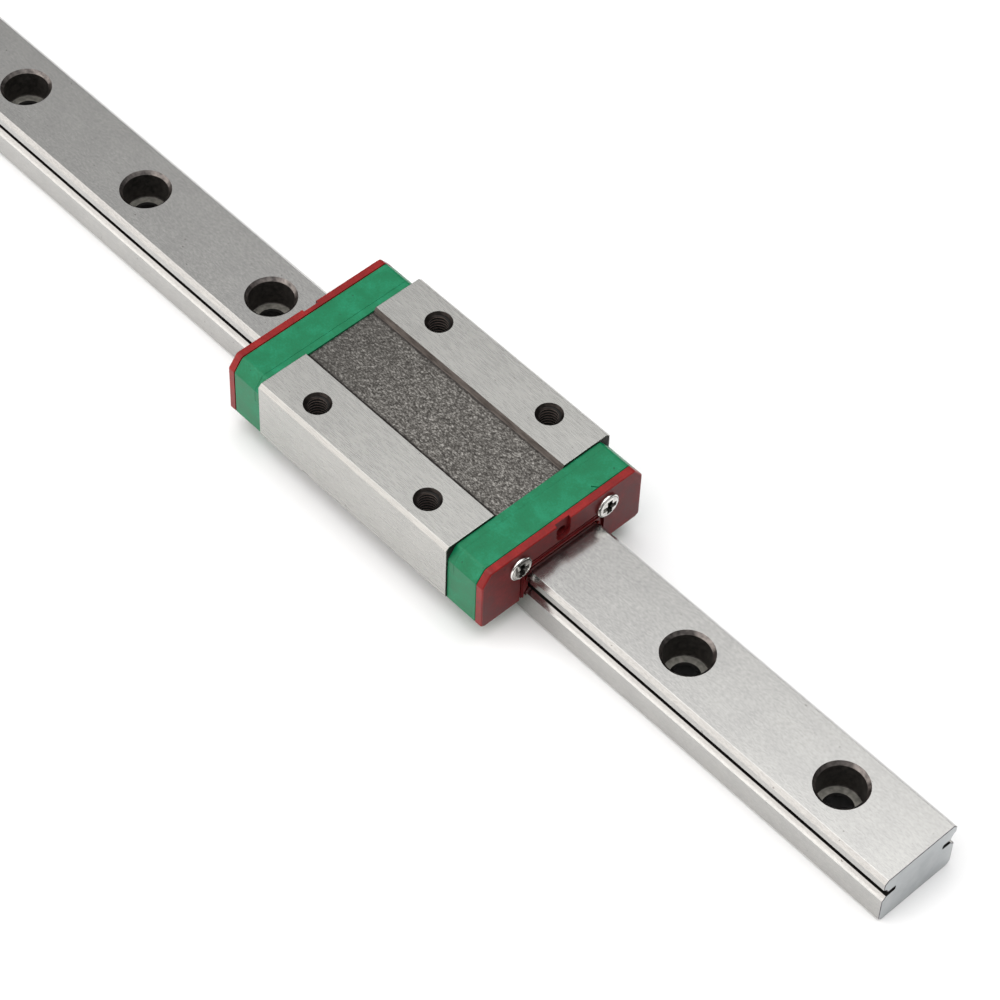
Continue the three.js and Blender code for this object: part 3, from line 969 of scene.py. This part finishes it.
def make_seal(end_name, end):
    node_name = f"end_seal_{end_name}"
    low, high = corners(node_name)
    gap = 0.12
    half = RAIL_HIGH.y + gap
    nose = LOAD_Y - TRACK_RADIUS + 2 * gap
    top = RAIL_HIGH.z + gap
    lower = [
        (half - RAIL_CHAMFER, top, 0.05),
        (half, top - RAIL_CHAMFER, 0.05),
        (half, TRACK_Z + TRACK_RADIUS, 0.1),
        (nose, TRACK_Z + TRACK_RADIUS / 3, 0.3),
        (nose, TRACK_Z - TRACK_RADIUS / 3, 0.3),
        (half, TRACK_Z - TRACK_RADIUS, 0.1),
        (half, low.z, 0.25),
        (high.y - 0.6, low.z, 0.25),
        (high.y, low.z + 0.35, 0.25),
    ]
    outline = filleted(end_outline(lower), 0.1, 4)
    inner = CENTRE_X + end * HALF_BODY
    outer = CENTRE_X + end * HALF_ALL
    slit = inner + end * 0.1
    places = stations(slit, outer, 0, 0.2, 4)
    joint = [(inner, 0.2), (slit, 0.2)]
    places = joint + places if end > 0 else places + joint[::-1]
    # The end faces take the darker red: painted shade on the faces that look along X.
    seal = extruded(f"{node_name}_visual", outline, places, [RED, SHADED_RED_FACE])
    cutters = [lip_cutter(outer, end, low.z)]
    above = 14
    notch = [
        (NOTCH_RADIUS, above),
        *arc(0, GREASE_Z, NOTCH_RADIUS, 0, -180, 16),
        (-NOTCH_RADIUS, above),
    ]
    places = stations(outer - end * NOTCH_DEPTH, outer + end)
    cutters.append(extruded("notch", notch, places, [SHADED_RED_FACE]))
    cutters.append(
        bar_x("grease", GREASE_RADIUS, inner - end, outer + end, 0, GREASE_Z, SHADED_RED_FACE)
    )
    for _, side in SIDES:
        y = side * SCREW_Y
        cutters.append(
            bar_x("hole", SCREW_HOLE_RADIUS, inner - end, outer + end, y, SCREW_Z, SHADED_RED_FACE)
        )
    combine(seal, cutters)
    dress(seal, "carriage", [node_name])


# ---------------------------------------------------------------- screws, wires, guides and balls


def make_screw(end_name, end, side_name, side):
    node_name = f"end_screw_{end_name}_{side_name}"
    place = along_x(CENTRE_X + end * HALF_ALL, side * SCREW_Y, SCREW_Z, end)
    neck = [(0, -0.5), (0.85, -0.5), (0.85, 0.0)]
    side_wall = [(1.66, 0.0), (1.72, 0.06), (1.72, 0.3), (1.69, 0.38), (1.63, 0.44)]
    # Where the head's edge turns to its top, a ring takes the dark copy of the plating: a painted dark
    # reflection.
    dark_reflection_ring = [(1.56, 0.475, 1), (1.47, 0.505, 0)]
    crown = [(1.3, 0.55), (1.1, 0.582), (0.8, 0.605), (0.4, 0.617), (0, 0.62)]
    profile = [*neck, *side_wall, *dark_reflection_ring, *crown]
    head = lathed(f"{node_name}_visual", profile, [CHROME, SCREW_PAINTED_DARK], place, 64)
    foot = place @ Matrix.Translation((0, 0, -9.5))
    shank = threaded(
        "shank", crest=0.95, root=0.8, pitch=0.4, turns=22,
        materials=[CHROME], place=foot, segments=24,
    )
    combine(head, [shank], "UNION")
    arm = 1.12
    slim = 0.41
    cross = [
        (slim, slim), (arm, slim), (arm, -slim), (slim, -slim),
        (slim, -arm), (-slim, -arm), (-slim, -slim), (-arm, -slim),
        (-arm, slim), (-slim, slim), (-slim, arm), (slim, arm),
    ]
    corner_count = len(cross)
    verts = []
    for height, long_scale, slim_scale in ((0.9, 1.1, 1.2), (0.6, 1.0, 1.0), (0.15, 0.5, 0.5)):
        for u, v in cross:
            scale_u = long_scale if abs(u) == arm else slim_scale
            scale_v = long_scale if abs(v) == arm else slim_scale
            verts.append(place @ Vector((u * scale_u, v * scale_v, height)))
    faces = [tuple(range(corner_count)), tuple(range(2 * corner_count, 3 * corner_count))]
    for first in (0, corner_count):
        after = first + corner_count
        for j in range(corner_count):
            k = (j + 1) % corner_count
            faces.append((first + j, first + k, after + k, after + j))
    # The cross recess is lined with the dark copy of the plating: painted shade.
    combine(head, [new_piece("cross", verts, faces, [SCREW_PAINTED_DARK])])
    dress(head, "carriage", [node_name])


def make_wire(side_name, side):
    node_name = f"retaining_wire_{side_name}"
    tip_x = WIRE_REACH
    path = [
        (-tip_x, WIRE_TIP_Y),
        (-tip_x, WIRE_Y, 0.45),
        (tip_x, WIRE_Y, 0.45),
        (tip_x, WIRE_TIP_Y),
    ]
    flat = filleted(path, 0, 8, closed=False)
    line = [Vector((CENTRE_X + x, side * y, TRACK_Z)) for x, y in flat]
    chamfer = 0.06
    tip_radius = WIRE_RADIUS * 0.7
    ring = 16
    last = len(line) - 1
    stops = []
    for i, point in enumerate(line):
        ahead = (line[min(i + 1, last)] - line[max(i - 1, 0)]).normalized()
        across = ahead.cross(Vector((0, 0, 1)))
        if i == 0:
            stops.append((point, across, tip_radius))
            stops.append((point + ahead * chamfer, across, WIRE_RADIUS))
        elif i == last:
            stops.append((point - ahead * chamfer, across, WIRE_RADIUS))
            stops.append((point, across, tip_radius))
        else:
            stops.append((point, across, WIRE_RADIUS))
    verts = []
    for point, across, size in stops:
        for k in range(ring):
            angle = 2 * math.pi * k / ring
            rise = Vector((0, 0, size * math.sin(angle)))
            verts.append(point + across * (size * math.cos(angle)) + rise)
    faces = [tuple(range(ring)), tuple(range(len(verts) - ring, len(verts)))]
    for s in range(len(stops) - 1):
        for k in range(ring):
            n = (k + 1) % ring
            faces.append((s * ring + k, s * ring + n, (s + 1) * ring + n, (s + 1) * ring + k))
    wire = new_piece(f"{node_name}_visual", verts, faces, [WIRE])
    dress(wire, "carriage", [node_name], cleaned=False)


def make_guide(end_name, end, side_name, side):
    node_name = f"return_guide_{end_name}_{side_name}"
    half = 1.05
    steps = 12
    lean = math.degrees(math.asin(half / TRACK_RADIUS))
    groove = [
        (BEND_RADIUS - TRACK_RADIUS * math.cos(a), TRACK_Z + TRACK_RADIUS * math.sin(a))
        for a in (math.radians(-lean + 2 * lean * k / steps) for k in range(steps + 1))
    ]
    profile = [(0, TRACK_Z - half), *groove, (0, TRACK_Z + half)]
    x = CENTRE_X + end * HALF_BLOCK
    y = side * BEND_Y
    spool = lathed(f"{node_name}_visual", profile, [NATURAL], upright(x, y, 0), 64)
    low, high = sorted((x, x - end * 4))
    combine(spool, [block("flat", (low, y - 4, 0), (high, y + 4, 13), NATURAL)])
    dress(spool, "carriage", [node_name])


def make_ball(name, centre, node_name):
    bm = bmesh.new()
    bmesh.ops.create_icosphere(bm, subdivisions=4, radius=BALL_RADIUS)
    mesh = bpy.data.meshes.new(name)
    bm.to_mesh(mesh)
    bm.free()
    mesh.transform(Matrix.Translation(centre))
    mesh.materials.append(BALL)
    piece = bpy.data.objects.new(name, mesh)
    scene.collection.objects.link(piece)
    dress(piece, "carriage", [node_name], cleaned=False)


def make_balls():
    for side_name, side in SIDES:
        rows = []
        for i in range(BALLS_IN_ROW):
            node_name = f"load_ball_{side_name}_{i + 1:02d}"
            low, high = corners(node_name)
            centre = (low + high) / 2
            rows.append(centre.x)
            make_ball(f"{node_name}_visual", centre, node_name)
        places = [Vector((x, side * RETURN_Y, TRACK_Z)) for x in rows]
        for _, end in ENDS:
            for angle in (math.radians(52), math.radians(128)):
                x = CENTRE_X + end * (HALF_BLOCK + BEND_RADIUS * math.sin(angle))
                y = side * (BEND_Y - BEND_RADIUS * math.cos(angle))
                places.append(Vector((x, y, TRACK_Z)))
        for i, place in enumerate(places):
            name = f"return_ball_{side_name}_{i + 1:02d}_visual"
            make_ball(name, place, f"return_balls_{side_name}")


make_rail()
make_block()
for end in ENDS:
    make_cap(*end)
    make_seal(*end)
    for side in SIDES:
        make_screw(*end, *side)
        make_guide(*end, *side)
for side in SIDES:
    make_wire(*side)
make_balls()
